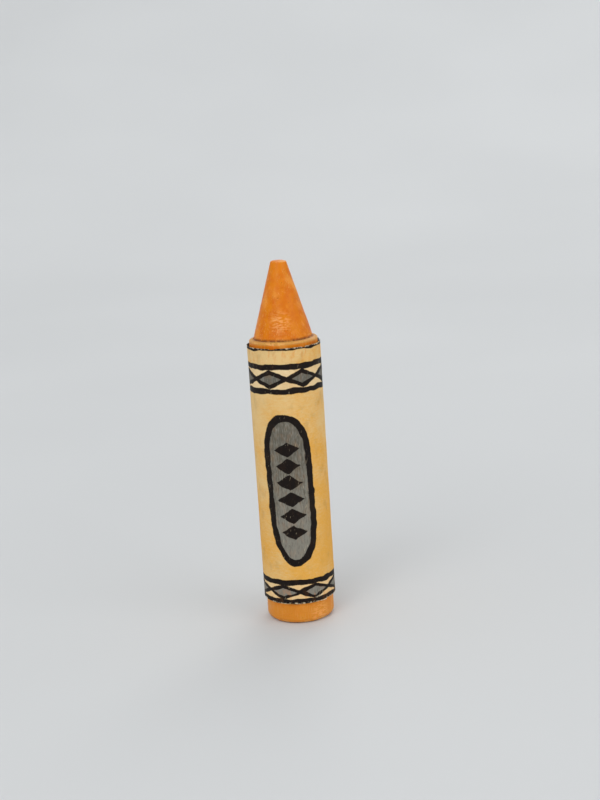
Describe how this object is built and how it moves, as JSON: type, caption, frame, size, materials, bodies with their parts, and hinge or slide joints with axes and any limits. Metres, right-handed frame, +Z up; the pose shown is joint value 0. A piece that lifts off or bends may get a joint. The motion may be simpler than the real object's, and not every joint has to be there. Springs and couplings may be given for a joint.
{
  "type": "wax crayon",
  "caption": "Chunky round wax crayon with a flat-nosed cone tip, a stepped shoulder and a wound paper label, for drawing and colouring.",
  "frame": {"origin": "centre of the flat butt end, on the surface that the crayon stands on", "axes": "+Z runs up the crayon's axis to the writing tip; the label's printed panel faces -Y and its lapped seam is towards +Y"},
  "size_m": [0.0158, 0.0161, 0.08],
  "materials": {
    "orange_wax": "satin",
    "label_paper": "matte",
    "starch_paste": "matte"
  },
  "bodies": {
    "root": {"wax_stick": "orange_wax", "paper_label": "label_paper", "paste_film": "starch_paste"}
  },
  "joints": []
}
